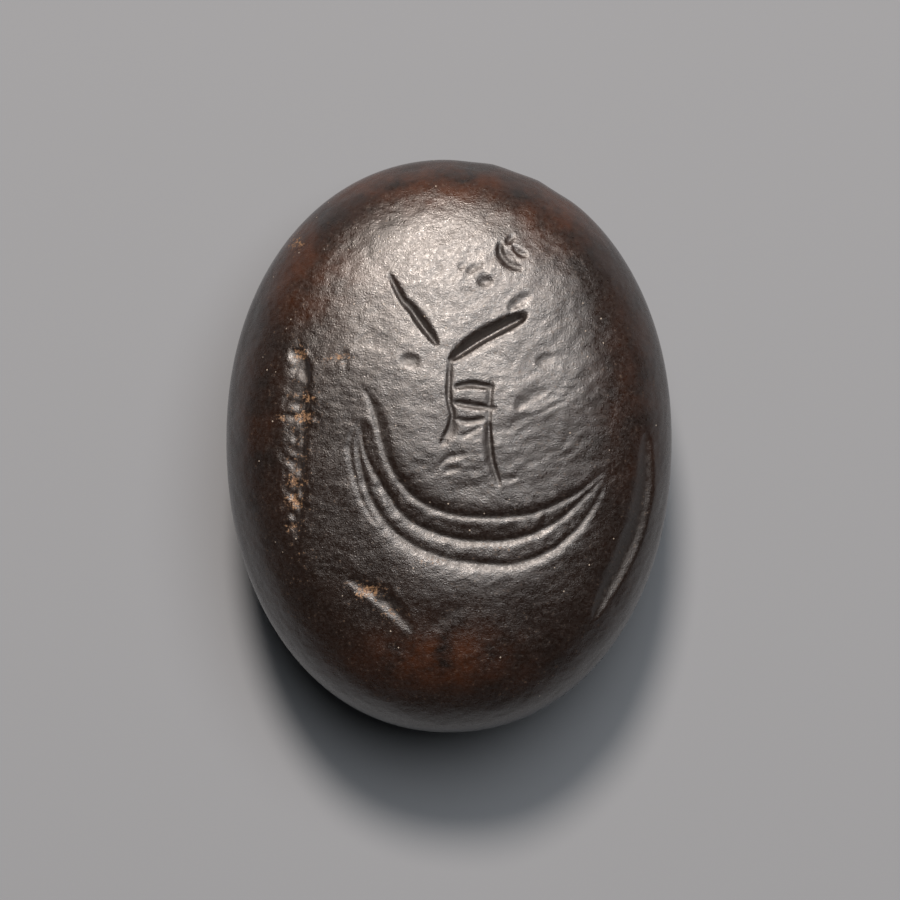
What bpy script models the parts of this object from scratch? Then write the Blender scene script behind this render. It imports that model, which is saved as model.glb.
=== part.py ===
"""An oval stamp seal of dark brown stone, lying on its back with the cut face up.

The stone is one solid. Its face and its back are two domes on one oval girdle:
    |x / half width| ^ n  +  |y / half length| ^ n  +  (height / dome height) ^ m  =  1
The back is round, with m = 2. The face is fuller, with m = 3: flatter in its
middle and steeper at its rim.
The design is cut into the face: marks follow paths that are laid out in shares
of the face's half width and half length, and each cuts in along the surface's
normal. The back is plain, with a small flat spot that the stone rests on.
Metres, +Z up out of the face, +Y to the top of the design.
"""
from collections import namedtuple

import bmesh
import bpy
import numpy as np
from mathutils.geometry import delaunay_2d_cdt

MM = 0.001

# The stone
LENGTH = 22.0 * MM
WIDTH = 17.1 * MM
FACE_RISE = 4.9 * MM
BACK_DROP = 5.3 * MM
REST_LENGTH = 7.0 * MM
WAIST_ABOVE_MIDDLE = 0.23 * MM
OVAL_POWER = 2.1
FACE_POWER = 3.0
BACK_POWER = 2.0

# The cuts: how wide each kind is across its top, and how deep
BROAD_WIDTH = 0.72 * MM
BROAD_DEPTH = 0.38 * MM
LINE_WIDTH = 0.86 * MM
LINE_DEPTH = 0.24 * MM
FINE_WIDTH = 0.34 * MM
FINE_DEPTH = 0.15 * MM
PIT_WIDTH = 0.50 * MM
PIT_DEPTH = 0.18 * MM
BED_WIDTH = 3.4 * MM
BED_DEPTH = 0.22 * MM

# The mesh: rings of points on each dome, and rows of points along each cut.
# Rows and caps are in shares of a cut's half width, and the steps in shares of its width.
FACE_RINGS = 20
BACK_RINGS = 12
PROFILE_STEPS = 400
ROWS_ACROSS_CUT = (0.0, -0.5, 0.5, -1.0, 1.0, -1.5, 1.5)
CAP_ROWS = (0.5, 1.0, 1.5)
CAP_ANGLES = (-50, 0, 50)
STEP_ALONG_CUT = 0.5
CRESCENT_MIDDLE = (0.18, 0.08)
CRESCENT_TURN = (163, 338)
CRESCENT_SPOKES = 70
CRESCENT_ROWS = 15
CUT_POINT_GAP = 0.08 * MM
RING_POINT_GAP = 0.32 * MM
BACK_POINT_GAP = 0.55 * MM

Mark = namedtuple("Mark", "name path width depth blunt")
Dome = namedtuple("Dome", "rise power")

FACE = Dome(FACE_RISE, FACE_POWER)
BACK = Dome(BACK_DROP, BACK_POWER)
HALF_WIDTH = WIDTH / 2
GIRDLE = BACK_DROP * (1 - (REST_LENGTH / LENGTH) ** OVAL_POWER) ** (1 / BACK_POWER)


def remove_all_objects():
    """Empty the scene, so that the script can run again."""
    for old in list(bpy.data.objects):
        bpy.data.objects.remove(old, do_unlink=True)


def half_length(y):
    """Half length of the oval on the side of the waist that y lies on."""
    above = LENGTH / 2 - WAIST_ABOVE_MIDDLE
    below = LENGTH / 2 + WAIST_ABOVE_MIDDLE
    return np.where(y > WAIST_ABOVE_MIDDLE, above, below)


def fill(x, y):
    """How far out a place is: 0 at the waist's centre and 1 on the girdle."""
    across = np.abs(x / HALF_WIDTH) ** OVAL_POWER
    along = np.abs((y - WAIST_ABOVE_MIDDLE) / half_length(y)) ** OVAL_POWER
    return across + along


def dome_height(x, y, dome):
    """Height of a dome over the girdle."""
    return dome.rise * np.clip(1 - fill(x, y), 0, 1) ** (1 / dome.power)


def face_points(x, y):
    """Points of the uncut face, as rows of x, y and z."""
    return np.stack([x, y, GIRDLE + dome_height(x, y, FACE)], axis=-1)


def face_normals(x, y):
    """Outward unit normals of the uncut face: the slope of its own equation."""
    length = half_length(y)
    from_waist = y - WAIST_ABOVE_MIDDLE
    power = OVAL_POWER - 1
    slope_x = OVAL_POWER * np.abs(x / HALF_WIDTH) ** power * np.sign(x) / HALF_WIDTH
    slope_y = OVAL_POWER * np.abs(from_waist / length) ** power * np.sign(from_waist) / length
    height_share = dome_height(x, y, FACE) / FACE_RISE
    slope_z = FACE_POWER * height_share ** (FACE_POWER - 1) / FACE_RISE
    normals = np.stack([slope_x, slope_y, slope_z], axis=-1)
    return normals / np.linalg.norm(normals, axis=-1, keepdims=True)


def unroll(x, y):
    """Spread the dome out on a plane, so that its steep rim keeps its width."""
    from_waist = y - WAIST_ABOVE_MIDDLE
    share = np.clip(fill(x, y), 0, 1) ** (1 / OVAL_POWER)
    stretch = np.where(share > 1e-6, np.arcsin(share) / np.maximum(share, 1e-6), 1.0)
    return np.stack([x * stretch, from_waist * stretch], axis=-1)


def place(share_x, share_y):
    """A place given in shares of the half width and half length, in metres."""
    return np.array([share_x * HALF_WIDTH, share_y * LENGTH / 2])


def curve(*stops):
    """A smooth line through two or more stops, which are places in shares."""
    stops = np.array([place(*stop) for stop in stops])
    before = 2 * stops[:1] - stops[1:2]
    after = 2 * stops[-1:] - stops[-2:-1]
    frame = np.concatenate([before, stops, after])
    t = np.linspace(0, 1, 12, endpoint=False)[:, None]
    spans = []
    for a, b, c, d in zip(frame, frame[1:], frame[2:], frame[3:]):
        bend = (2 * a - 5 * b + 4 * c - d) * t ** 2 + (3 * b - a - 3 * c + d) * t ** 3
        spans.append((2 * b + (c - a) * t + bend) / 2)
    return np.concatenate(spans + [stops[-1:]])


def line(name, path, width=1.0, depth=1.0, blunt=0.25):
    """A crescent or border line, in shares of the line's width and depth."""
    return Mark(name, path, width * LINE_WIDTH, depth * LINE_DEPTH, blunt)


def broad(name, path, width=1.0, depth=1.0, blunt=0.35):
    """A broad deep cut, such as an arm."""
    return Mark(name, path, width * BROAD_WIDTH, depth * BROAD_DEPTH, blunt)


def fine(name, path, width=1.0, depth=1.0, blunt=0.3):
    """A thin scratched stroke, such as a rung."""
    return Mark(name, path, width * FINE_WIDTH, depth * FINE_DEPTH, blunt)


def pit(name, path, width=1.0, depth=1.0, blunt=1.0):
    """A small drilled or worn pit."""
    return Mark(name, path, width * PIT_WIDTH, depth * PIT_DEPTH, blunt)


def crescent_paths():
    """The crescent's three broad lines, from the upper one to the lower one."""
    upper = curve(
        (-0.371, 0.189), (-0.336, 0.117), (-0.305, 0.027), (-0.274, -0.052),
        (-0.217, -0.127), (-0.128, -0.193), (0.027, -0.239), (0.226, -0.246),
        (0.358, -0.236), (0.460, -0.208), (0.584, -0.158), (0.685, -0.093),
    )
    middle = curve(
        (-0.393, 0.072), (-0.380, -0.004), (-0.345, -0.072), (-0.287, -0.151),
        (-0.225, -0.224), (-0.133, -0.279), (0.027, -0.322), (0.181, -0.330),
        (0.287, -0.323), (0.407, -0.294), (0.509, -0.246), (0.588, -0.189),
        (0.677, -0.117),
    )
    lower = curve(
        (-0.407, 0.010), (-0.385, -0.100), (-0.340, -0.196), (-0.274, -0.272),
        (-0.194, -0.327), (-0.084, -0.371), (0.049, -0.399), (0.226, -0.411),
        (0.323, -0.401), (0.447, -0.363), (0.548, -0.304), (0.619, -0.241),
        (0.685, -0.148),
    )
    return upper, middle, lower


def crescent_marks():
    """The crescent's three broad lines."""
    return [line("crescent line", path) for path in crescent_paths()]


def crescent_rows():
    """Places on spokes that fan out over the crescent, from above its upper line to below its lower one."""
    middle = place(*CRESCENT_MIDDLE)
    turn = np.radians(np.linspace(*CRESCENT_TURN, CRESCENT_SPOKES))
    upper, lower = (path - middle for path in crescent_paths()[::2])
    reach = []
    for away in (upper, lower):
        angles = np.unwrap(np.arctan2(away[:, 1], away[:, 0]))
        reach.append(np.interp(turn, angles, np.hypot(away[:, 0], away[:, 1])))
    near = reach[0] - LINE_WIDTH / 2
    far = reach[1] + LINE_WIDTH / 2
    spoke = np.stack([np.cos(turn), np.sin(turn)], axis=-1)
    shares = np.linspace(0, 1, CRESCENT_ROWS)
    return np.concatenate([middle + (near + (far - near) * share)[:, None] * spoke for share in shares])


def figure_marks():
    """The upright over the crescent: two raised arms, two sides and the rungs between them.

    A thin line runs round the crescent's left horn.
    """
    rungs = (
        ((0.031, 0.202), (0.102, 0.209), (0.190, 0.199)),
        ((0.027, 0.147), (0.101, 0.137), (0.199, 0.127)),
        ((0.031, 0.092), (0.084, 0.082), (0.154, 0.092)),
        ((0.053, 0.031), (0.093, 0.044), (0.141, 0.065)),
        ((-0.040, -0.065), (0.004, -0.041), (0.079, -0.031)),
        ((-0.031, -0.096), (0.013, -0.083), (0.057, -0.076)),
    )
    horn = curve(
        (-0.389, 0.096), (-0.433, 0.041), (-0.444, -0.021), (-0.424, -0.100),
        (-0.389, -0.186), (-0.340, -0.251), (-0.287, -0.303),
    )
    marks = [
        fine("horn", horn),
        broad("left arm", curve((-0.270, 0.595), (-0.177, 0.467), (-0.050, 0.343)), 0.75, 0.62, 0.1),
        broad("right arm", curve((0.020, 0.300), (0.165, 0.374), (0.330, 0.438)), 1.0, 1.0, 0.5),
        fine("left side", curve((0.004, 0.295), (-0.004, 0.168), (0.013, 0.095), (-0.030, 0.020))),
        fine("right side", curve((0.190, 0.230), (0.177, 0.070), (0.225, -0.131)), 1.2, 1.2),
        fine("foot", curve((0.225, -0.117), (0.265, -0.117), (0.304, -0.107))),
        fine("twig", curve((0.265, 0.463), (0.305, 0.495), (0.363, 0.523)), 1.1, 1.0),
        fine("side nick", curve((0.296, 0.123), (0.355, 0.161), (0.437, 0.189)), 1.1, 1.0),
    ]
    return marks + [fine("rung", curve(*rung)) for rung in rungs]


def star_marks():
    """The cluster of short cuts over the upright, with the pits beside it."""
    marks = [
        fine("star left", curve((0.226, 0.689), (0.255, 0.642), (0.323, 0.609)), 1.3, 1.4),
        fine("star right", curve((0.284, 0.689), (0.310, 0.668), (0.346, 0.655)), 1.1, 1.1),
        fine("star tip", curve((0.257, 0.700), (0.289, 0.724)), 1.1, 1.0),
    ]
    pits = (
        ((0.050, 0.619), (0.056, 0.619)),
        ((0.089, 0.605), (0.146, 0.626)),
        ((0.142, 0.567), (0.177, 0.567)),
        ((-0.198, 0.295), (-0.141, 0.284)),
    )
    return marks + [pit("pit", curve(*ends), 0.8, 0.6) for ends in pits]


def border_marks():
    """The cuts around the crescent: the column at the left, the low gouge and the rim groove."""
    marks = [
        broad("column head", curve((-0.710, 0.322), (-0.668, 0.284), (-0.656, 0.213)), 0.95, 0.55),
        line("low gouge", curve((-0.469, -0.482), (-0.320, -0.523), (-0.195, -0.616)), 0.75, 1.0),
        line("rim groove", curve((0.890, 0.031), (0.895, -0.132), (0.842, -0.333), (0.655, -0.610)), 0.75),
    ]
    bars = (
        ((-0.723, 0.155), (-0.606, 0.158)),
        ((-0.736, 0.100), (-0.611, 0.096)),
    )
    notches = (
        ((-0.655, 0.007), (-0.673, -0.021)),
        ((-0.702, -0.042), (-0.700, -0.073)),
        ((-0.696, -0.110), (-0.678, -0.138)),
        ((-0.696, -0.164), (-0.687, -0.207)),
        ((-0.692, -0.259), (-0.683, -0.293)),
    )
    marks += [line("column bar", curve(*bar), 0.55, 0.7, 0.6) for bar in bars]
    return marks + [pit("column notch", curve(*notch)) for notch in notches]


def single_marks():
    """All the marks outside the crescent, the boldest first."""
    marks = figure_marks() + star_marks() + border_marks()
    return sorted(marks, key=lambda mark: -mark.depth)


def crescent_bed():
    """The soft hollow that the crescent lies in."""
    path = curve(
        (-0.380, 0.080), (-0.350, -0.060), (-0.250, -0.195), (-0.080, -0.310),
        (0.170, -0.345), (0.440, -0.290), (0.640, -0.160),
    )
    return Mark("crescent bed", path, BED_WIDTH, BED_DEPTH, 0.1)


def run_of(mark):
    """Points along a mark on the uncut face, how far along each is, and its strength there.

    A mark is strongest in its middle and dies away over its ends. Its bluntness
    says how much strength is left at the very ends.
    """
    points = face_points(mark.path[:, 0], mark.path[:, 1])
    steps = np.linalg.norm(np.diff(points, axis=0), axis=1)
    run = np.concatenate([[0.0], np.cumsum(steps)])
    swell = np.sqrt(np.sin(np.pi * run / run[-1]).clip(0, 1))
    return points, run, mark.blunt + (1 - mark.blunt) * swell


def cut_depth(surface, marks):
    """Depth of the deepest mark at each surface point.

    Across a mark the depth falls from its full depth to nothing as half a cosine
    wave. The distance is measured to the straight pieces of the mark's run.
    """
    deepest = np.zeros(len(surface))
    for mark in marks:
        points, run, strength = run_of(mark)
        starts = points[:-1]
        pieces = points[1:] - starts
        offset = surface[:, None, :] - starts
        along = np.clip((offset * pieces).sum(2) / (pieces ** 2).sum(1), 0, 1)
        gap = np.linalg.norm(offset - along[..., None] * pieces, axis=2)
        local = strength[:-1] + (strength[1:] - strength[:-1]) * along
        across = np.clip(gap / (local * mark.width / 2), 0, 1)
        depth = mark.depth * local * (1 + np.cos(np.pi * across)) / 2
        deepest = np.maximum(deepest, depth.max(axis=1))
    return deepest


def rows_along(mark):
    """Places for mesh points in rows along a mark, with a fan of them round each end."""
    points, run, strength = run_of(mark)
    count = max(2, round(run[-1] / (STEP_ALONG_CUT * mark.width)) + 1)
    stations = np.linspace(0, run[-1], count)
    middle = np.stack([np.interp(stations, run, points[:, k]) for k in range(3)], axis=-1)
    reach = np.interp(stations, run, strength)[:, None] * mark.width / 2
    ahead = np.gradient(middle, axis=0)
    ahead /= np.linalg.norm(ahead, axis=1, keepdims=True)
    sideways = np.cross(face_normals(middle[:, 0], middle[:, 1]), ahead)
    rows = [middle + across * reach * sideways for across in ROWS_ACROSS_CUT]
    for end, outwards in ((0, -1), (-1, 1)):
        for angle in np.radians(CAP_ANGLES):
            heading = outwards * np.cos(angle) * ahead[end] + np.sin(angle) * sideways[end]
            rows.append(np.array([middle[end] + share * reach[end] * heading for share in CAP_ROWS]))
    return np.concatenate(rows)[:, :2]


def even_shares(rings, dome):
    """Shares of the way out at which rings lie at even lengths down the dome's profile."""
    share = np.sin(np.linspace(0, np.pi / 2, PROFILE_STEPS))
    height = dome.rise * np.clip(1 - share ** OVAL_POWER, 0, 1) ** (1 / dome.power)
    across = share * (HALF_WIDTH + LENGTH / 2) / 2
    run = np.concatenate([[0.0], np.cumsum(np.hypot(np.diff(across), np.diff(height)))])
    return np.interp(run[-1] * np.arange(1, rings) / rings, run, share)


def ring_places(rings, dome):
    """The middle of a dome and even rings of places around it, each with six more than the last."""
    inner = [np.array([[0.0, WAIST_ABOVE_MIDDLE]])]
    for ring, share in enumerate(even_shares(rings, dome), start=1):
        inner.append(oval_ring(share, 6 * ring))
    return np.concatenate(inner)


def oval_ring(share, count):
    """A ring of places at a share of the way from the waist's centre to the girdle."""
    angles = 2 * np.pi * np.arange(count) / count
    cosine = np.cos(angles)
    sine = np.sin(angles)
    round_up = 2 / OVAL_POWER
    x = share * HALF_WIDTH * np.sign(cosine) * np.abs(cosine) ** round_up
    from_waist = share * np.sign(sine) * np.abs(sine) ** round_up
    y = WAIST_ABOVE_MIDDLE + from_waist * half_length(WAIST_ABOVE_MIDDLE + from_waist)
    return np.stack([x, y], axis=-1)


def keep_apart(places, kept, gap, dome):
    """Add each place to the kept ones if it is the gap away from all of them on the dome."""
    def on_dome(spots):
        return np.column_stack([spots, dome_height(spots[:, 0], spots[:, 1], dome)])

    chosen = list(on_dome(np.array(kept)))
    for spot, point in zip(places, on_dome(places)):
        if np.linalg.norm(np.array(chosen) - point, axis=1).min() >= gap:
            kept.append(spot)
            chosen.append(point)


def face_places(girdle):
    """Places of the face's mesh points: rows along the cuts, then rings where there is room."""
    kept = list(girdle)
    for places in [crescent_rows()] + [rows_along(mark) for mark in single_marks()]:
        inside = fill(places[:, 0], places[:, 1]) < 0.97
        keep_apart(places[inside], kept, CUT_POINT_GAP, FACE)
    keep_apart(ring_places(FACE_RINGS, FACE), kept, RING_POINT_GAP, FACE)
    return np.array(kept)[len(girdle):]


def back_places():
    """Places of the back's mesh points: the edge of the flat spot, then rings around it."""
    edge = REST_LENGTH / LENGTH
    kept = list(oval_ring(edge, 6 * round(BACK_RINGS * edge)))
    keep_apart(ring_places(BACK_RINGS, BACK), kept, BACK_POINT_GAP, BACK)
    return np.array(kept)


def triangles(places):
    """Triangles between places, made on the unrolled plane and turning anticlockwise."""
    flat = unroll(places[:, 0], places[:, 1]) / MM
    found = delaunay_2d_cdt([spot.tolist() for spot in flat], [], [], 0, 1e-7)
    return [list(face) for face in found[2]]


def build_seal():
    """Make the stone as one closed mesh: a cut face and a plain back on one girdle."""
    girdle = oval_ring(1.0, 6 * FACE_RINGS)
    face = face_places(girdle)
    back = back_places()
    girdle_points = np.column_stack([girdle, np.full(len(girdle), GIRDLE)])
    face_uncut = face_points(face[:, 0], face[:, 1])
    depth = cut_depth(face_uncut, crescent_marks() + single_marks())
    depth += cut_depth(face_uncut, [crescent_bed()])
    face_cut = face_uncut - depth[:, None] * face_normals(face[:, 0], face[:, 1])
    back_height = np.maximum(GIRDLE - dome_height(back[:, 0], back[:, 1], BACK), 0.0)
    on_flat = fill(back[:, 0], back[:, 1]) <= (REST_LENGTH / LENGTH) ** OVAL_POWER * 1.001
    back_height[on_flat] = 0.0
    back_points = np.column_stack([back, back_height])

    shell = bmesh.new()
    rim = [shell.verts.new(point) for point in girdle_points]
    upper = rim + [shell.verts.new(point) for point in face_cut]
    lower = rim + [shell.verts.new(point) for point in back_points]
    for corners in triangles(np.concatenate([girdle, face])):
        shell.faces.new([upper[corner] for corner in corners])
    for corners in triangles(np.concatenate([girdle, back])):
        shell.faces.new([lower[corner] for corner in reversed(corners)])
    mesh = bpy.data.meshes.new("seal_stone")
    shell.to_mesh(mesh)
    shell.free()
    mesh.shade_smooth()
    seal = bpy.data.objects.new("seal_stone", mesh)
    bpy.context.scene.collection.objects.link(seal)
    return seal


def stone_material():
    """Polished dark brown stone with a satin sheen."""
    material = bpy.data.materials.new("dark brown stone")
    material.use_nodes = True
    shader = material.node_tree.nodes["Principled BSDF"]
    shader.inputs["Base Color"].default_value = (0.045, 0.026, 0.018, 1.0)
    shader.inputs["Roughness"].default_value = 0.38
    shader.inputs["Metallic"].default_value = 0.0
    return material


remove_all_objects()
build_seal().data.materials.append(stone_material())
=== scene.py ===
# %% [markdown]
# # An oval stamp seal of dark brown stone
#
# The seal is one pebble, 22 mm long, cut and polished from a dark, iron-rich
# stone. Its face is a low dome with a design cut into it: a crescent of three
# lines, an upright with two raised arms over it, a small star, a column of short
# cuts at the left, a gouge below and a groove along the right rim.
#
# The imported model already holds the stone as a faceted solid. This lesson makes
# the fine surface over it. First the solid is loaded, and its box is kept.

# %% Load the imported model
from collections import namedtuple

import bpy
import numpy as np
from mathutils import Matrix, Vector


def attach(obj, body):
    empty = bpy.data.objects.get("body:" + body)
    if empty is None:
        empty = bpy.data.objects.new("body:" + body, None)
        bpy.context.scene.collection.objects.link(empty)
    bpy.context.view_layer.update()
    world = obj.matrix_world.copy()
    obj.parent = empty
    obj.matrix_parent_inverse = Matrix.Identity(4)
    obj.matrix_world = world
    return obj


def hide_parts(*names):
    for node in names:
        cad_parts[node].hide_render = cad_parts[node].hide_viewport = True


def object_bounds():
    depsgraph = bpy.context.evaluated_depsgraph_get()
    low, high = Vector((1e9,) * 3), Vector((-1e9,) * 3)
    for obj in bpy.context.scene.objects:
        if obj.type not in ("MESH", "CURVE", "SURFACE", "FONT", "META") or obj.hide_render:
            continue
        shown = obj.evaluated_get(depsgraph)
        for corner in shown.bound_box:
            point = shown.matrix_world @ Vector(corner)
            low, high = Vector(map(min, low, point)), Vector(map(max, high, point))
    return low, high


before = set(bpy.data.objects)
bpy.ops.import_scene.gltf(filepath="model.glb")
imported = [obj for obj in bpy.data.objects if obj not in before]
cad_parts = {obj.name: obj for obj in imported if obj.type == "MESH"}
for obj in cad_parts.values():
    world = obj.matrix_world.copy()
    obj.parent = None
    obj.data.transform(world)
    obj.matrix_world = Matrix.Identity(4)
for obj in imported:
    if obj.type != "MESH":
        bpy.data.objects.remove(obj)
cad_box = [[float(value) for value in corner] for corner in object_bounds()]
MM = 0.001
print("box of the solid, mm:", [[round(value / MM, 2) for value in corner] for corner in cad_box])

# %% [markdown]
# ## The pebble's form
#
# The face and the back are two domes that meet on one oval, the girdle. Such a
# form could be sculpted, but a formula is exact and needs no guessing:
#
#     |x / half width| ^ n + |y / half length| ^ n + (height / rise) ^ m = 1
#
# With n = 2 the oval would be a plain ellipse. At 2.1 it is a little fuller, as a
# pebble ground on a flat stone is. The back is round, with m = 2. The face has
# m = 3: it is flatter in the middle and turns down faster at its rim, which is
# why the sheen stays even nearly to the edge and then goes dark. The waist, the
# oval's widest place, lies a little above the middle. The back ends in a small
# flat spot, which the seal rests on.

# %% The pebble's sizes and its two domes
low, high = (np.array(corner) for corner in cad_box)
WIDTH, LENGTH, _ = high - low
WAIST = 0.23 * MM
OVAL_POWER = 2.1
REST_LENGTH = 7.0 * MM
Dome = namedtuple("Dome", "rise power")
FACE = Dome(4.9 * MM, 3.0)
BACK = Dome(5.3 * MM, 2.0)
GIRDLE = BACK.rise * (1 - (REST_LENGTH / LENGTH) ** OVAL_POWER) ** (1 / BACK.power)


def half_length(y):
    """Half length of the oval on the side of the waist that y lies on."""
    return np.where(y > WAIST, LENGTH / 2 - WAIST, LENGTH / 2 + WAIST)


def fill(x, y):
    """How far out a place is: |x / half width| ^ n + |y / half length| ^ n, 1 on the girdle."""
    across = np.abs(2 * x / WIDTH) ** OVAL_POWER
    return across + np.abs((y - WAIST) / half_length(y)) ** OVAL_POWER


def height_of(x, y, dome):
    """Height of a dome over the girdle: its rise times what fill leaves of 1, to the power 1 / m."""
    return dome.rise * np.clip(1 - fill(x, y), 0, 1) ** (1 / dome.power)


def normals_of(x, y, dome):
    """Unit normals of a dome: the slope of its own equation, made one long."""
    away = y - WAIST
    power = OVAL_POWER - 1
    slopes = np.stack([
        OVAL_POWER * np.abs(2 * x / WIDTH) ** power * np.sign(x) * 2 / WIDTH,
        OVAL_POWER * np.abs(away / half_length(y)) ** power * np.sign(away) / half_length(y),
        dome.power * (height_of(x, y, dome) / dome.rise) ** (dome.power - 1) / dome.rise,
    ], axis=-1)
    return slopes / np.linalg.norm(slopes, axis=-1, keepdims=True)


print("girdle at", round(GIRDLE / MM, 3), "mm, top of the face at", round((GIRDLE + FACE.rise) / MM, 3), "mm")

# %% [markdown]
# ## A grid for the face, a coarser one for the back
#
# The design is fine, so the face needs points less than 0.1 mm apart. A globe's
# grid would crowd its points at a pole in the middle of the design. Here a
# square grid is pressed onto a round disc instead, which has no pole:
#
#     x = u * sqrt(1 - v * v / 2),   y = v * sqrt(1 - u * u / 2)
#
# The disc is then laid over the dome, in steps that are even along the dome's own
# profile, so that the steep rim keeps its share of points. On the face the steps
# are drawn in towards the middle, where the cuts are. The back is plain and takes
# every second point. One ring of three triangles a step joins the two grids along
# the girdle.

# %% Grids pressed onto the oval
FACE_STEPS = 278
BACK_STEPS = FACE_STEPS // 2
PROFILE_STEPS = 2000
DRAWN_IN = 0.22


def even_shares(radius, dome):
    """Shares of the way out whose places lie at even lengths down the dome's profile."""
    share = np.sin(np.linspace(0, np.pi / 2, PROFILE_STEPS + 1))
    height = dome.rise * np.clip(1 - share ** OVAL_POWER, 0, 1) ** (1 / dome.power)
    across = share * (WIDTH + LENGTH) / 4
    run = np.concatenate([[0.0], np.cumsum(np.hypot(np.diff(across), np.diff(height)))])
    return np.interp(radius, run / run[-1], share)


def oval_grid(steps, dome, reach=1.0, drawn_in=0.0):
    """Places x and y of a square grid pressed onto the oval, out to a share of its reach."""
    line = np.linspace(-reach, reach, steps + 1)
    u, v = np.meshgrid(line, line, indexing="ij")
    disc_x = u * np.sqrt(1 - v * v / 2)
    disc_y = v * np.sqrt(1 - u * u / 2)
    radius = np.clip(np.hypot(disc_x, disc_y), 0, 1)
    turn = np.arctan2(disc_y, disc_x)
    share = even_shares(radius * (1 - drawn_in + drawn_in * radius ** 2), dome)
    x = np.sign(np.cos(turn)) * np.abs(np.cos(turn)) ** (2 / OVAL_POWER) * share * WIDTH / 2
    away = np.sign(np.sin(turn)) * np.abs(np.sin(turn)) ** (2 / OVAL_POWER) * share
    return x, WAIST + away * half_length(WAIST + away)


def grid_faces(index, flip=False):
    """Four-cornered faces between the rows and columns of a grid of point numbers."""
    corners = [index[:-1, :-1], index[1:, :-1], index[1:, 1:], index[:-1, 1:]]
    faces = np.stack(corners, axis=-1).reshape(-1, 4)
    return faces[:, ::-1] if flip else faces


def edge_of(index):
    """The point numbers round the edge of a grid, anticlockwise from its first corner."""
    return np.concatenate([index[:-1, 0], index[-1, :-1], index[:0:-1, -1], index[0, :0:-1]])


face_x, face_y = oval_grid(FACE_STEPS, FACE, drawn_in=DRAWN_IN)
middle = FACE_STEPS // 2
step = face_x[middle + 1, middle] - face_x[middle, middle]
print("face:", face_x.size, "points,", round(step / MM, 3), "mm apart in the middle")

# %% [markdown]
# ## How a cut is made
#
# The lines were cut with hand tools and worn smooth since. A graver or the rim of
# a small wheel leaves a groove that comes to a crease at its deepest, with
# shoulders that round over. So across a cut the depth falls from the crease as
#
#     depth * ((1 - sharp) * (1 + cos(180 degrees * gap)) / 2 + sharp * (1 - gap) ^ 2)
#
# where gap is 0 on the crease and 1 at the edge: sharp is 0 for a soft trough, 1
# for a keen crease and a little more for one with flat shoulders. Wear has rounded
# every crease by a few hundredths of its width.
#
# Along a cut the depth swells and dies away as the root of a sine. A cut may lean,
# with one wall wider than the other. All of it could be a bump in the material,
# but a real groove also shadows itself, so it is geometry.
#
# The paths are given in shares of the face's half width and half length.

# %% Paths, cuts and how deep they go
STEPS_BETWEEN_STOPS = 12
CREASE_ROUNDING = 0.07
JOINING_POWER = 6
Cut = namedtuple("Cut", "path width depth blunt sharp lean")


def path_of(*stops):
    """A smooth line through stops given in shares: between two stops it is a cubic whose
    slope at each stop is half the step from the stop before it to the one after it."""
    stops = np.array(stops) * (WIDTH / 2, LENGTH / 2)
    ends = np.concatenate([2 * stops[:1] - stops[1:2], stops, 2 * stops[-1:] - stops[-2:-1]])
    t = np.linspace(0, 1, STEPS_BETWEEN_STOPS, endpoint=False)[:, None]
    spans = []
    for a, b, c, d in zip(ends, ends[1:], ends[2:], ends[3:]):
        bend = (2 * a - 5 * b + 4 * c - d) * t ** 2 + (3 * b - a - 3 * c + d) * t ** 3
        spans.append((2 * b + (c - a) * t + bend) / 2)
    return np.concatenate(spans + [stops[-1:]])


def cut(path, width, depth, blunt=0.3, sharp=0.6, lean=0.0):
    """A cut along a path, its width and depth in mm. A positive lean widens its left wall."""
    return Cut(path, width * MM, depth * MM, blunt, sharp, lean)


def on_face(x, y):
    """Points of the uncut face."""
    return np.column_stack([x, y, GIRDLE + height_of(x, y, FACE)])


def depth_of(one, points, normals):
    """Depth of one cut at surface points, measured to the straight pieces of its path."""
    track = on_face(*one.path.T)
    pieces = np.diff(track, axis=0)
    lengths = np.linalg.norm(pieces, axis=1)
    run = np.concatenate([[0.0], np.cumsum(lengths)]) / lengths.sum()
    strength = one.blunt + (1 - one.blunt) * np.sqrt(np.sin(np.pi * run).clip(0, 1))
    reach = one.width / 2 * (1 + abs(one.lean))
    near = np.all((points > track.min(axis=0) - reach) & (points < track.max(axis=0) + reach), axis=1)
    offset = points[near, None, :] - track[:-1]
    along = np.clip((offset * pieces).sum(2) / lengths ** 2, 0, 1)
    away = offset - along[..., None] * pieces
    gap = np.linalg.norm(away, axis=2)
    closest = gap.argmin(axis=1)
    row = np.arange(len(closest))
    gap, along, away = gap[row, closest], along[row, closest], away[row, closest]
    side = np.sign((np.cross(normals[near], pieces[closest]) * away).sum(axis=1))
    local = strength[closest] + (strength[closest + 1] - strength[closest]) * along
    share = gap / (local * one.width / 2 * (1 + one.lean * side))
    share = np.clip(np.hypot(share, CREASE_ROUNDING) - CREASE_ROUNDING, 0, 1)
    wave = (1 + np.cos(np.pi * share)) / 2
    depth = np.zeros(len(points))
    depth[near] = one.depth * local * ((1 - one.sharp) * wave + one.sharp * (1 - share) ** 2)
    return depth


def joined(cuts, points, normals):
    """Depth of several cuts together: the sixth root of the sum of their sixth powers,
    which is the deepest one's depth with the ridges between cuts rounded."""
    total = np.zeros(len(points))
    for one in cuts:
        total += (depth_of(one, points, normals) / MM) ** JOINING_POWER
    return MM * total ** (1 / JOINING_POWER)


# %% [markdown]
# ## The crescent
#
# Three lines lie side by side in a soft hollow, with broad round ridges between
# them. Each is a narrow groove with a keen crease and flat shoulders. A thin
# fourth runs round the left horn, and a short soft stroke widens the first line
# inside that horn. The hollow is a wide trough, and its depth is added to theirs.

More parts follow.
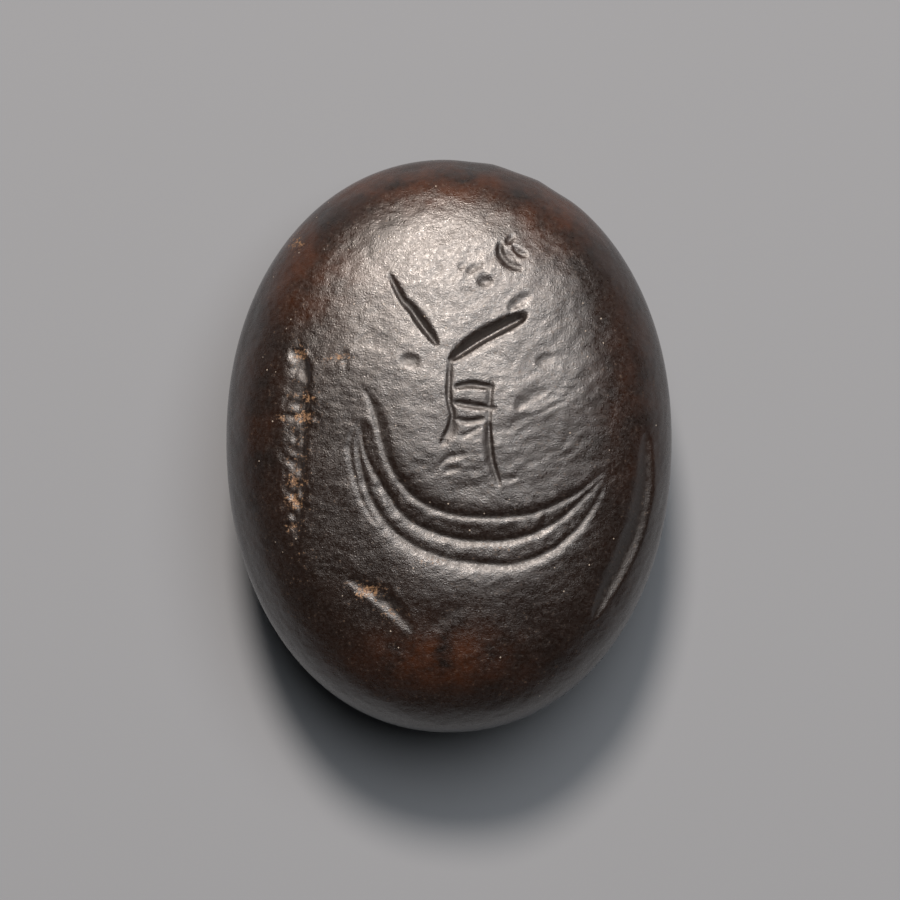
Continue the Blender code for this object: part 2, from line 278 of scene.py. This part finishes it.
# %% The crescent's lines and its bed
crescent = [
    cut(path_of((-0.371, 0.189), (-0.336, 0.117), (-0.305, 0.027), (-0.274, -0.052), (-0.217, -0.127),
                (-0.128, -0.193), (0.027, -0.239), (0.226, -0.246), (0.358, -0.236), (0.460, -0.208),
                (0.584, -0.158), (0.685, -0.093)), 0.74, 0.088, 0.22, 1.3, 0.20),
    cut(path_of((-0.393, 0.072), (-0.380, -0.004), (-0.345, -0.072), (-0.287, -0.151), (-0.225, -0.224),
                (-0.133, -0.279), (0.027, -0.322), (0.181, -0.330), (0.287, -0.323), (0.407, -0.294),
                (0.509, -0.246), (0.588, -0.189), (0.677, -0.117)), 0.68, 0.092, 0.20, 1.3, 0.0),
    cut(path_of((-0.407, 0.010), (-0.385, -0.100), (-0.340, -0.196), (-0.274, -0.272), (-0.194, -0.327),
                (-0.084, -0.371), (0.049, -0.399), (0.226, -0.411), (0.323, -0.401), (0.447, -0.363),
                (0.548, -0.304), (0.619, -0.241), (0.685, -0.148)), 0.76, 0.100, 0.30, 1.2, -0.1),
    cut(path_of((-0.389, 0.096), (-0.433, 0.041), (-0.444, -0.021), (-0.424, -0.100), (-0.389, -0.186),
                (-0.340, -0.251), (-0.287, -0.303)), 0.40, 0.045, 0.3, 0.9, 0.2),
    cut(path_of((-0.360, 0.175), (-0.327, 0.100), (-0.294, 0.006), (-0.250, -0.080)),
        0.62, 0.075, 0.3, 0.6, 0.4),
]
bed = cut(path_of((-0.380, 0.080), (-0.350, -0.060), (-0.250, -0.195), (-0.080, -0.310),
                  (0.170, -0.345), (0.440, -0.290), (0.640, -0.160)), 3.4, 0.13, 0.1, 0.0)
print("crescent:", len(crescent), "cuts and their bed")

# %% [markdown]
# ## The upright with its arms
#
# The two arms are the boldest cuts on the seal. Each was made with a few strokes
# of a wide tool, held at a slant: one wall is broad and dark, the other narrow
# and bright. The rungs are single scratches. Each of the thin sides is three, and
# the last of them is its foot.

# %% The arms, sides and rungs
arms = [
    cut(path_of((-0.270, 0.595), (-0.215, 0.510), (-0.150, 0.440)), 0.36, 0.14, 0.10, 0.7, 0.35),
    cut(path_of((-0.200, 0.505), (-0.130, 0.425), (-0.050, 0.343)), 0.54, 0.22, 0.15, 0.7, 0.35),
    cut(path_of((0.020, 0.300), (0.165, 0.374), (0.330, 0.438)), 0.68, 0.36, 0.50, 0.6, 0.40),
    cut(path_of((0.200, 0.398), (0.325, 0.440)), 0.56, 0.30, 0.80, 0.6, 0.40),
    cut(path_of((0.030, 0.282), (0.140, 0.335), (0.280, 0.385)), 0.22, 0.03),
]
sides = [
    cut(path_of((0.004, 0.295), (-0.004, 0.168), (0.013, 0.095), (-0.030, 0.020)),
        0.34, 0.095, 0.5, 0.8, 0.3),
    cut(path_of((0.010, 0.110), (0.002, 0.062), (-0.028, 0.020)), 0.56, 0.080, 0.4, 0.2, 0.5),
    cut(path_of((-0.004, 0.013), (-0.044, 0.010)), 0.30, 0.07),
    cut(path_of((0.190, 0.230), (0.177, 0.070)), 0.40, 0.060, 0.5, 0.8, -0.5),
    cut(path_of((0.177, 0.080), (0.190, -0.040), (0.225, -0.131)), 0.50, 0.105, 0.5, 0.8, -0.5),
    cut(path_of((0.225, -0.117), (0.265, -0.117), (0.304, -0.107)), 0.44, 0.045, 0.3, 0.5, 0.3),
]
rungs = [
    cut(path_of((0.031, 0.202), (0.102, 0.209), (0.190, 0.199)), 0.38, 0.14, 0.6, 0.7, 0.2),
    cut(path_of((0.027, 0.147), (0.101, 0.137), (0.199, 0.127)), 0.38, 0.12, 0.6, 0.7, 0.2),
    cut(path_of((0.031, 0.092), (0.084, 0.082), (0.154, 0.092)), 0.32, 0.09, 0.5, 0.7, 0.2),
    cut(path_of((0.053, 0.031), (0.093, 0.044), (0.141, 0.065)), 0.30, 0.035),
    cut(path_of((-0.040, -0.065), (0.004, -0.041), (0.079, -0.031)), 0.40, 0.048, 0.3, 0.5, 0.2),
    cut(path_of((-0.031, -0.096), (0.013, -0.083), (0.057, -0.076)), 0.38, 0.042, 0.3, 0.5, 0.2),
]
nicks = [
    cut(path_of((0.265, 0.463), (0.305, 0.495), (0.363, 0.523)), 0.60, 0.05, 0.2, 0.1),
    cut(path_of((0.296, 0.123), (0.355, 0.161), (0.437, 0.189)), 0.75, 0.055, 0.2, 0.1, 0.3),
    cut(path_of((0.389, 0.278), (0.464, 0.312)), 0.65, 0.045, 0.3, 0.1),
]
print("upright:", len(arms + sides + rungs + nicks), "cuts")

# %% [markdown]
# ## The star, the pits and the border
#
# A cluster of four short cuts stands over the upright, with small pits beside
# it. At the left a column of pits and bars runs down the rim in a shallow trough,
# filled with pale earth. A gouge lies below, and a long soft groove follows the
# rim at the right.

# %% The small cuts round the design
star = [
    cut(path_of((0.226, 0.700), (0.230, 0.665), (0.265, 0.632), (0.323, 0.609)), 0.50, 0.14),
    cut(path_of((0.253, 0.672), (0.301, 0.633)), 0.28, 0.08),
    cut(path_of((0.284, 0.689), (0.310, 0.668), (0.346, 0.655)), 0.36, 0.11),
    cut(path_of((0.252, 0.700), (0.289, 0.724)), 0.36, 0.10),
]
pits = [
    cut(path_of((0.050, 0.619), (0.056, 0.619)), 0.30, 0.05, 1.0, 0.3),
    cut(path_of((0.089, 0.605), (0.146, 0.626)), 0.46, 0.07, 0.7, 0.2),
    cut(path_of((0.142, 0.567), (0.177, 0.567)), 0.48, 0.07, 0.8, 0.2),
    cut(path_of((0.058, 0.536), (0.093, 0.532)), 0.26, 0.03, 0.8, 0.3),
    cut(path_of((-0.185, 0.296), (-0.158, 0.290)), 0.70, 0.075, 1.0, 0.0),
]
column = [
    cut(path_of((-0.665, 0.360), (-0.655, 0.100), (-0.670, -0.330)), 1.20, 0.08, 0.3, 0.1, -0.5),
    cut(path_of((-0.690, 0.335), (-0.645, 0.290), (-0.630, 0.215)), 1.00, 0.15, 0.30, 0.2, -0.55),
    cut(path_of((-0.735, 0.172), (-0.655, 0.170), (-0.600, 0.162)), 0.46, 0.045, 0.4, 0.2, -0.4),
    cut(path_of((-0.740, 0.110), (-0.655, 0.106), (-0.610, 0.112)), 0.62, 0.060, 0.4, 0.3, -0.4),
    cut(path_of((-0.655, 0.007), (-0.673, -0.021)), 0.42, 0.05, 0.9, 0.2),
    cut(path_of((-0.702, -0.042), (-0.700, -0.073)), 0.38, 0.05, 0.9, 0.2),
    cut(path_of((-0.686, -0.110), (-0.678, -0.138)), 0.46, 0.07, 0.9, 0.2),
    cut(path_of((-0.690, -0.164), (-0.682, -0.207)), 0.50, 0.08, 0.9, 0.2),
    cut(path_of((-0.692, -0.259), (-0.683, -0.293)), 0.44, 0.06, 0.9, 0.2),
]
border = [
    cut(path_of((-0.450, -0.460), (-0.370, -0.495), (-0.270, -0.548), (-0.160, -0.640)),
        0.90, 0.11, 0.20, 0.4, 0.2),
    cut(path_of((0.880, 0.050), (0.885, -0.132), (0.830, -0.333), (0.640, -0.600)),
        1.30, 0.18, 0.10, 0.2, -0.3),
    cut(path_of((-0.111, -0.647), (-0.040, -0.606), (0.062, -0.554)), 0.80, 0.04),
    cut(path_of((-0.415, 0.360), (-0.376, 0.381), (-0.331, 0.391)), 0.26, 0.03),
    cut(path_of((-0.531, 0.278), (-0.491, 0.302), (-0.446, 0.326)), 0.28, 0.04),
]
print("star, pits, column and border:", len(star + pits + column + border), "cuts")

# %% [markdown]
# ## Wear
#
# The polish is old and uneven. Long soft swells and a few shallow hollows bend the
# sheen, and small lumps and grains break it up. Swells, lumps and grains are
# sums of many small waves with random headings, lengths and starts: a cheap
# way to an even roughness that has no seams. The seed is fixed, so every run
# gives the same stone. To the right of the upright the polisher's strokes show as
# nearly level ripples, half a millimetre apart, in two patches. Down the column and
# in the gouge the ground is broken, and by the pits and in the crescent it is a
# little coarser. Three shallow flats dent the outline at the upper right.
#
# Depths and lengths are in mm here. The spread of a sum of waves is how far it
# strays from 0 on the whole: in mm, or in radians for the waver of the strokes.

# %% Swells, ripples, strokes and flats
rng = np.random.default_rng(7)
Spot = namedtuple("Spot", "x y reach_x reach_y strength")
Waves = namedtuple("Waves", "spread shortest longest count stretch")
EVEN = (1.0, 1.0, 1.0)
SIDEWAYS = (1.5, 1.0, 1.0)
SWELLS = Waves(0.020, 3.0, 9.0, 24, EVEN)
LUMPS = Waves(0.008, 1.0, 3.0, 40, SIDEWAYS)
GRAINS = Waves(0.0045, 0.25, 0.8, 90, SIDEWAYS)
RUBBLE = Waves(0.040, 0.3, 0.9, 60, EVEN)
STROKE_DEPTH = 0.006
STROKE_GAP = 0.5
STROKE_RISE = 0.16
STROKE_WAVER = Waves(2.6, 1.2, 4.0, 16, EVEN)


def spots_at(spots, x, y):
    """The strongest of several bell-shaped spots at each place, exp(-distance ^ 2) each.
    Their places are in shares and their reach is in mm."""
    found = np.zeros(len(x))
    for spot in spots:
        across = (x - spot.x * WIDTH / 2) / (spot.reach_x * MM)
        along = (y - spot.y * LENGTH / 2) / (spot.reach_y * MM)
        found = np.maximum(found, spot.strength * np.exp(-across ** 2 - along ** 2))
    return found


def sum_of(waves, points):
    """The sum of count sine waves of random heading, length and start, brought to their spread.
    Stretch makes the waves longer along an axis."""
    headings = rng.normal(size=(waves.count, 3))
    headings /= np.linalg.norm(headings, axis=1, keepdims=True)
    log_lengths = rng.uniform(np.log(waves.shortest), np.log(waves.longest), waves.count)
    lengths = np.exp(log_lengths) * MM
    starts = rng.uniform(0, 2 * np.pi, waves.count)
    phases = (points / np.array(waves.stretch)) @ (2 * np.pi * headings / lengths[:, None]).T + starts
    return waves.spread * (np.sin(phases).sum(axis=1) * np.sqrt(2 / waves.count))


def wear(points):
    """Wear in mm: the swells, the lumps and the grains together."""
    return sum_of(SWELLS, points) + sum_of(LUMPS, points) + sum_of(GRAINS, points)


def rubble(points):
    """Broken ground in mm: small lumps, as strong as the spots in broken say."""
    return sum_of(RUBBLE, points) * spots_at(broken, points[:, 0], points[:, 1])


def strokes(points):
    """The polisher's strokes in mm: sine ripples that rise to the right, wavering, in two patches."""
    x, y = points[:, 0] / MM, points[:, 1] / MM
    phase = 2 * np.pi * (y - STROKE_RISE * x) / STROKE_GAP + sum_of(STROKE_WAVER, points)
    return STROKE_DEPTH * np.sin(phase) * spots_at(stroked, points[:, 0], points[:, 1])


broken = [
    Spot(-0.66, 0.28, 0.50, 0.7, 0.5), Spot(-0.66, 0.12, 0.60, 0.8, 0.9), Spot(-0.68, -0.04, 0.50, 0.9, 1.0),
    Spot(-0.69, -0.20, 0.50, 1.2, 1.0), Spot(-0.33, -0.51, 0.8, 0.4, 0.5), Spot(-0.47, 0.30, 0.6, 0.5, 0.25),
    Spot(0.14, 0.60, 0.9, 0.7, 0.3), Spot(-0.28, -0.18, 1.2, 1.6, 0.20), Spot(0.05, -0.33, 1.6, 0.9, 0.22),
    Spot(0.42, -0.28, 1.5, 1.0, 0.28), Spot(0.10, 0.0, 1.0, 1.6, 0.08),
]
stroked = [Spot(0.42, 0.10, 2.6, 2.4, 1.0), Spot(0.35, 0.45, 2.0, 1.4, 0.6)]
hollows = [
    Spot(0.115, 0.45, 2.6, 2.3, 0.10), Spot(-0.46, -0.09, 1.7, 2.7, 0.10), Spot(0.02, 0.31, 1.9, 1.5, 0.045),
    Spot(0.45, 0.43, 1.5, 1.5, 0.03),
]
flats = [
    Spot(0.10, 0.98, 0.7, 0.7, 0.05), Spot(0.30, 0.94, 0.8, 0.8, 0.07), Spot(0.47, 0.885, 0.7, 0.7, 0.06),
]
print("broken ground:", len(broken), "spots; hollows:", len(hollows), "and flats:", len(flats))

# %% [markdown]
# ## The stone's surface
#
# Each point of the face starts on the dome and moves in along the dome's normal
# by the depth of the cuts and of the wear. On the girdle the wear dies away, so
# the outline stays that of the solid, but for the flats. The back has wear but no
# cuts, and is flat where it rests. The wear has a mean depth, in mm like the rest
# of it, so that no swell stands out of the solid.

# %% Points of the face and of the back
EDGE_FADE = 0.06
WEAR_DEPTH = 0.04
SPOT_FADE = 0.25 * MM


def ramp(values, start, end):
    """0 up to start, an even rise, and 1 from end on."""
    return np.clip((values - start) / (end - start), 0, 1)


def fade_to_girdle(x, y):
    """0 on the girdle, rising smoothly to 1 a little way in from it."""
    share = ramp(1 - fill(x, y), 0, EDGE_FADE)
    return share * share * (3 - 2 * share)


def face_surface(x, y):
    """Points of the cut face, and how deep the cuts are at each."""
    uncut = on_face(x, y)
    normals = normals_of(x, y, FACE)
    every_cut = crescent + arms + sides + rungs + nicks + star + pits + column + border
    depth = joined(every_cut, uncut, normals)
    worn = wear(uncut) + strokes(uncut) + rubble(uncut) + spots_at(hollows, x, y) + WEAR_DEPTH
    worn = worn * fade_to_girdle(x, y) + spots_at(flats, x, y)
    return uncut - (depth + depth_of(bed, uncut, normals) + worn * MM)[:, None] * normals, depth


def back_surface(x, y):
    """Points of the plain back, flat where the seal rests."""
    height = GIRDLE - height_of(x, y, BACK)
    points = np.column_stack([x, y, np.maximum(height, 0.0)])
    normals = normals_of(x, y, BACK) * (1, 1, -1)
    off_spot = ramp(height, 0, SPOT_FADE)
    worn = (wear(points) + WEAR_DEPTH) * fade_to_girdle(x, y) * off_spot + spots_at(flats, x, y)
    return points - worn[:, None] * MM * normals


face_points, cut_depths = face_surface(face_x.ravel(), face_y.ravel())
print("deepest cut:", round(cut_depths.max() / MM, 3), "mm")

# %% [markdown]
# ## One closed mesh
#
# The face grid's edge lies on the girdle. The back grid stops one step short of
# it, and a ring of triangles closes the gap: between two of the back's edge
# points lie three of the face's. The surface normals of the back point down, so
# its faces turn the other way round.

# %% Join the face and the back
face_index = np.arange(face_x.size).reshape(face_x.shape)
back_x, back_y = oval_grid(BACK_STEPS, BACK, 1 - 2 / BACK_STEPS)
back_index = face_x.size + np.arange(back_x.size).reshape(back_x.shape)
back_points = back_surface(back_x.ravel(), back_y.ravel())

rim = edge_of(face_index)
inner_rim = edge_of(back_index)
inner_next = np.roll(inner_rim, -1)
first, between, last = rim[0::2], rim[1::2], np.roll(rim, -2)[0::2]
ring = np.concatenate([
    np.stack([between, first, inner_rim], axis=-1),
    np.stack([between, inner_rim, inner_next], axis=-1),
    np.stack([last, between, inner_next], axis=-1),
])
points = np.concatenate([face_points, back_points])
quads = np.concatenate([grid_faces(face_index), grid_faces(back_index, flip=True)])
mesh = bpy.data.meshes.new("seal")
mesh.from_pydata(points.tolist(), [], quads.tolist() + ring.tolist())
mesh.shade_smooth()
seal = bpy.data.objects.new("seal", mesh)
bpy.context.scene.collection.objects.link(seal)
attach(seal, "root")
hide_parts("seal_stone")
print("seal:", len(mesh.vertices), "points,", 2 * len(quads) + len(ring), "triangles")

# %% [markdown]
# ## Where earth and rust lie
#
# Pale orange earth sits in the column's pits and in the gouge, and the stone
# turns red-brown along the top and at the foot. The material needs to know where.
# Four numbers are stored on each point: how dark and matt its cut is made, how much
# earth it holds, how rusty it is and how handled. The cuts are darkened by their
# depth as painted shade in the creases, and made matt; the deepest, the two arms,
# are mostly spared and keep their gloss. Earth and rust are soft round spots, each
# falling off as a bell curve, and the material breaks their edges up. Handled is 1
# on the rim and on the back, which fingers have kept smooth, and 0 in the middle of the face.

# %% Numbers stored on the points
CUT_SHADE_FULL_AT = 0.12 * MM
DEEP_FROM, DEEP_AT = 0.16 * MM, 0.24 * MM
DEEP_SPARED = 0.8
HANDLED_FROM, HANDLED_AT = 0.72, 0.97
earth = [
    Spot(-0.67, -0.02, 0.50, 3.6, 0.30),
    Spot(-0.62, 0.165, 0.42, 0.22, 0.70),
    Spot(-0.64, 0.098, 0.50, 0.26, 0.80),
    Spot(-0.74, 0.100, 0.24, 0.20, 0.55),
    Spot(-0.66, 0.315, 0.36, 0.40, 0.60),
    Spot(-0.685, -0.120, 0.34, 0.36, 0.70),
    Spot(-0.685, -0.190, 0.36, 0.36, 0.85),
    Spot(-0.69, -0.280, 0.30, 0.30, 0.50),
    Spot(-0.36, -0.500, 0.60, 0.30, 0.80),
    Spot(-0.25, -0.575, 0.50, 0.24, 0.45),
    Spot(-0.49, 0.305, 0.50, 0.20, 0.65),
    Spot(0.21, -0.350, 0.60, 0.14, 0.45),
    Spot(-0.08, -0.395, 0.60, 0.14, 0.45),
    Spot(-0.68, 0.70, 0.30, 0.30, 0.60),
]
rust = [
    Spot(-0.10, 0.90, 4.2, 1.0, 1.0),
    Spot(0.45, 0.80, 2.4, 1.8, 0.8),
    Spot(-0.04, -0.72, 2.4, 1.0, 1.0),
    Spot(-0.60, 0.62, 2.2, 2.2, 0.7),
    Spot(0.80, 0.25, 1.4, 3.5, 0.3),
    Spot(-0.85, 0.10, 1.2, 4.0, 0.2),
]


def store(name, values):
    """Write one number for each point into the mesh as a named attribute."""
    layer = mesh.attributes.new(name, "FLOAT", "POINT")
    layer.data.foreach_set("value", values.astype(np.float32))


# Painted shade: the cuts are darkened, and made matt, by their depth; the deepest are mostly spared
cut_shade_and_matt = ramp(cut_depths, 0, CUT_SHADE_FULL_AT) * (1 - DEEP_SPARED * ramp(cut_depths, DEEP_FROM, DEEP_AT))
store("cut_shade_and_matt", np.concatenate([cut_shade_and_matt, np.zeros(len(back_points))]))
store("earth", spots_at(earth, points[:, 0], points[:, 1]) * (points[:, 2] > GIRDLE))
store("rust", spots_at(rust, points[:, 0], points[:, 1]))
handled = ramp(fill(points[:, 0], points[:, 1]), HANDLED_FROM, HANDLED_AT)
store("handled", np.where(points[:, 2] < GIRDLE, 1.0, handled))
print("spots:", len(earth), "of earth,", len(rust), "of rust")

# %% [markdown]
# ## Polished ironstone
#
# The stone is dense, dark and rich in iron. Cut with an abrasive and polished by
# hand, it takes a sheen between glass and metal. Common stones have an index of
# refraction near 1.55, and pure haematite has one near 3. An ironstone mixes iron
# with quartz and clay and lies between them: 1.85 is used here. With much more than
# that, the rim would mirror a pale floor and lose its dark brown. Handling and
# burial have dulled the polish to satin.
#
# The colour is dark brown, with red-brown clouds, cuts darkened by depth as painted
# shade, orange earth and grains of pale dust. The sheen is uneven in flecks of 0.15 mm,
# and it is broken by a fine scaly grain, drawn out sideways, as the polisher's strokes ran.

# %% Colours and a node helper
def colour(code):
    """An sRGB hex code as linear red, green, blue and a full alpha."""
    shares = np.array([int(code[k:k + 2], 16) for k in (0, 2, 4)]) / 255
    linear = np.where(shares <= 0.04045, shares / 12.92, ((shares + 0.055) / 1.055) ** 2.4)
    return (*linear.tolist(), 1.0)


def add(tree, kind, settings, links, out=0):
    """Add a node and give one of its outputs. Settings are properties by name, or values by
    a socket's name or number. Links are the sockets that its inputs come from.
    A Mix node has its share at 0, its two numbers at 2 and 3 and its two colours at 6 and 7."""
    made = tree.nodes.new("ShaderNode" + kind)
    for name, value in settings.items():
        if isinstance(name, str) and hasattr(made, name):
            setattr(made, name, value)
        else:
            made.inputs[name].default_value = value
    for name, socket in links.items():
        tree.links.new(socket, made.inputs[name])
    return made.outputs[out]


# %% The stone: its colour
BROWN_DARK, BROWN_LIGHT = colour("100906"), colour("1F120B")
RUST_BROWN = colour("502A12")
# Painted shade, laid darker into the cuts by their depth
CUT_SHADE_BROWN = colour("0F0906")
EARTH_DARK, EARTH_PALE = colour("5A3A22"), colour("B08A62")
DUST_GREY = colour("A0968A")
ironstone = bpy.data.materials.new("hand polished ironstone")
ironstone.use_nodes = True
tree = ironstone.node_tree
shader = tree.nodes["Principled BSDF"]
shader.inputs["IOR"].default_value = 1.85
place = add(tree, "TexCoord", {}, {}, "Object")

# Clouds of 1 to 2 mm, mottles of 0.15 mm
clouds = add(tree, "TexNoise", {"Scale": 0.7 / MM, "Detail": 5.0, "Roughness": 0.62}, {"Vector": place})
mottles = add(tree, "TexNoise", {"Scale": 7.0 / MM, "Detail": 4.0, "Roughness": 0.70}, {"Vector": place})
mottle_share = add(tree, "MapRange", {"From Min": 0.34, "From Max": 0.66}, {"Value": mottles})
brown = add(tree, "Mix", {"data_type": "RGBA", 6: BROWN_DARK, 7: BROWN_LIGHT}, {0: clouds}, 2)

rust_here = add(tree, "Attribute", {"attribute_name": "rust"}, {}, "Fac")
rust_cloud = add(tree, "MapRange", {"From Min": 0.35, "From Max": 0.65}, {"Value": clouds})
rust_share = add(tree, "Math", {"operation": "MULTIPLY"}, {0: rust_here, 1: rust_cloud})
rust_share = add(tree, "Math", {"operation": "MULTIPLY", 1: 0.8}, {0: rust_share})
rusty = add(tree, "Mix", {"data_type": "RGBA", 7: RUST_BROWN}, {0: rust_share, 6: brown}, 2)

# Painted shade: the cuts turn darker by their depth, in patches set by the mottles; the same share makes them
# matt
cut_shade_and_matt_here = add(tree, "Attribute", {"attribute_name": "cut_shade_and_matt"}, {}, "Fac")
cut_shade_and_matt_patch = add(tree, "MapRange", {"To Min": 0.25, "To Max": 0.80}, {"Value": mottle_share})
cut_shade_and_matt_share = add(tree, "Math", {"operation": "MULTIPLY"}, {0: cut_shade_and_matt_here, 1: cut_shade_and_matt_patch})
darker = add(tree, "Mix", {"data_type": "RGBA", 7: CUT_SHADE_BROWN}, {0: cut_shade_and_matt_share, 6: rusty}, 2)

# Earth of two tones, broken up by the mottles and by grit of 0.06 mm
grit = add(tree, "TexNoise", {"Scale": 18.0 / MM, "Detail": 2.0}, {"Vector": place})
earth_here = add(tree, "Attribute", {"attribute_name": "earth"}, {}, "Fac")
earth_broken = add(tree, "Math", {"operation": "ADD"}, {0: earth_here, 1: mottle_share})
earth_limits = {"From Min": 0.93, "From Max": 1.38, "To Max": 0.88}
earth_share = add(tree, "MapRange", earth_limits, {"Value": earth_broken})
earth_tone = add(tree, "MapRange", {"From Min": 0.40, "From Max": 0.62}, {"Value": grit})
earth_colour = add(tree, "Mix", {"data_type": "RGBA", 6: EARTH_DARK, 7: EARTH_PALE}, {0: earth_tone}, 2)
earthy = add(tree, "Mix", {"data_type": "RGBA"}, {0: earth_share, 6: darker, 7: earth_colour}, 2)

# Pale dust: balls 0.06 mm across in two of five cells of 0.5 mm, seen where the surface cuts them
cells = {"Scale": 2.0 / MM}
dust_gap = add(tree, "TexVoronoi", cells, {"Vector": place}, "Distance")
dust_draw = add(tree, "TexVoronoi", cells, {"Vector": place}, "Color")
dust_grain = add(tree, "Math", {"operation": "LESS_THAN", 1: 0.06}, {0: dust_gap})
dust_chosen = add(tree, "Math", {"operation": "GREATER_THAN", 1: 0.58}, {0: dust_draw})
dust_share = add(tree, "Math", {"operation": "MULTIPLY"}, {0: dust_grain, 1: dust_chosen})
dusty = add(tree, "Mix", {"data_type": "RGBA", 7: DUST_GREY}, {0: dust_share, 6: earthy}, 2)
tree.links.new(dusty, shader.inputs["Base Color"])
print("colour:", len(tree.nodes), "nodes")

# %% The stone: its sheen and its grain
sheen = add(tree, "MapRange", {"To Min": 0.24, "To Max": 0.47}, {"Value": mottle_share})
matt = add(tree, "Math", {"operation": "MAXIMUM"}, {0: earth_share, 1: dust_share})
matt = add(tree, "Math", {"operation": "MAXIMUM"}, {0: matt, 1: cut_shade_and_matt_share})
handled_here = add(tree, "Attribute", {"attribute_name": "handled"}, {}, "Fac")
clean_sheen = add(tree, "Mix", {3: 0.26}, {0: handled_here, 2: sheen})
roughness = add(tree, "Mix", {3: 0.75}, {0: matt, 2: clean_sheen})
tree.links.new(roughness, shader.inputs["Roughness"])

# Scales of 0.25 by 0.17 mm that rise a little to the right, and the grit
scale_shape = {"Rotation": (0, 0, -0.15), "Scale": (4.0 / MM, 6.0 / MM, 5.0 / MM)}
scale_place = add(tree, "Mapping", scale_shape, {"Vector": place})
scales = add(tree, "TexNoise", {"Scale": 1.0, "Detail": 5.0, "Roughness": 0.68}, {"Vector": scale_place})
scaly = add(tree, "Bump", {"Distance": 0.018 * MM}, {"Height": scales})
gritty = add(tree, "Bump", {"Distance": 0.014 * MM}, {"Height": grit, "Normal": scaly})
tree.links.new(gritty, shader.inputs["Normal"])
seal.data.materials.append(ironstone)
print("stone material:", len(tree.nodes), "nodes")

# %% [markdown]
# ## Floor, light and camera
#
# The seal lies on its back on a plain pale floor. Two soft lights make the sheen,
# and its shape shows where they stand. A wide one to the upper right, 20 degrees off
# the line of sight, lights most of the face evenly. A smaller warm one above, 35
# degrees off, makes the brightest place near the top. All else is dim, so the sides
# of the stone stay dark. The camera looks straight down on the face through a long
# lens, from over the middle of the photograph's frame.

# %% Floor
FLOOR_REACH = 0.6
floor_mesh = bpy.data.meshes.new("floor")
corners = [(-1, -1), (1, -1), (1, 1), (-1, 1)]
floor_mesh.from_pydata([(x * FLOOR_REACH, y * FLOOR_REACH, 0) for x, y in corners], [], [(0, 1, 2, 3)])
floor = bpy.data.objects.new("floor", floor_mesh)
bpy.context.scene.collection.objects.link(floor)
paper = bpy.data.materials.new("matt paper")
paper.use_nodes = True
paper_inputs = paper.node_tree.nodes["Principled BSDF"].inputs
paper_inputs["Base Color"].default_value = colour("868B91")
paper_inputs["Roughness"].default_value = 0.9
floor_mesh.materials.append(paper)
print("floor:", 2 * FLOOR_REACH, "m square")

# %% Light
LIGHT_DISTANCE = 0.5
ROOM_LIGHT = 0.015
face_top = Vector((0, 0, GIRDLE + FACE.rise))


def soft_light(name, tilt, turn, reach, radiance, tint):
    """A round soft light. Tilt is its angle off the line of sight, turn its heading
    round the seal from +X, and reach its radius as an angle seen from the seal."""
    radius = LIGHT_DISTANCE * np.tan(np.radians(reach))
    data = bpy.data.lights.new(name, "AREA")
    data.shape = "DISK"
    data.size = 2 * radius
    data.energy = radiance * 4 * np.pi * radius ** 2
    data.color = tint
    lamp = bpy.data.objects.new(name, data)
    bpy.context.scene.collection.objects.link(lamp)
    tilt, turn = np.radians(tilt), np.radians(turn)
    away = Vector((np.sin(tilt) * np.cos(turn), np.sin(tilt) * np.sin(turn), np.cos(tilt)))
    lamp.location = face_top + LIGHT_DISTANCE * away
    lamp.rotation_euler = away.to_track_quat("Z", "Y").to_euler()
    print(name, "radius", round(radius, 3), "m,", round(data.energy, 2), "W")


soft_light("wide softbox", tilt=20.5, turn=62, reach=18.5, radiance=4.3, tint=(1.0, 0.98, 0.97))
soft_light("inner softbox", tilt=34.5, turn=96, reach=6, radiance=84, tint=(1.0, 0.86, 0.76))
world = bpy.data.worlds.new("studio")
bpy.context.scene.world = world
world.use_nodes = True
background = world.node_tree.nodes["Background"].inputs
background["Color"].default_value = (1, 1, 1, 1)
background["Strength"].default_value = ROOM_LIGHT
bpy.context.scene.view_settings.view_transform = "Standard"

# %% Camera
CAMERA_PLACE = (0.0385 * MM, -0.154 * MM, GIRDLE + 240.4 * MM)
camera_data = bpy.data.cameras.new("camera")
camera_data.lens = 250
camera_data.sensor_width = 36
camera_data.clip_start = 0.01
camera = bpy.data.objects.new("camera", camera_data)
bpy.context.scene.collection.objects.link(camera)
camera.location = CAMERA_PLACE
bpy.context.scene.camera = camera
print("camera:", round(CAMERA_PLACE[2] / MM, 1), "mm over the floor")
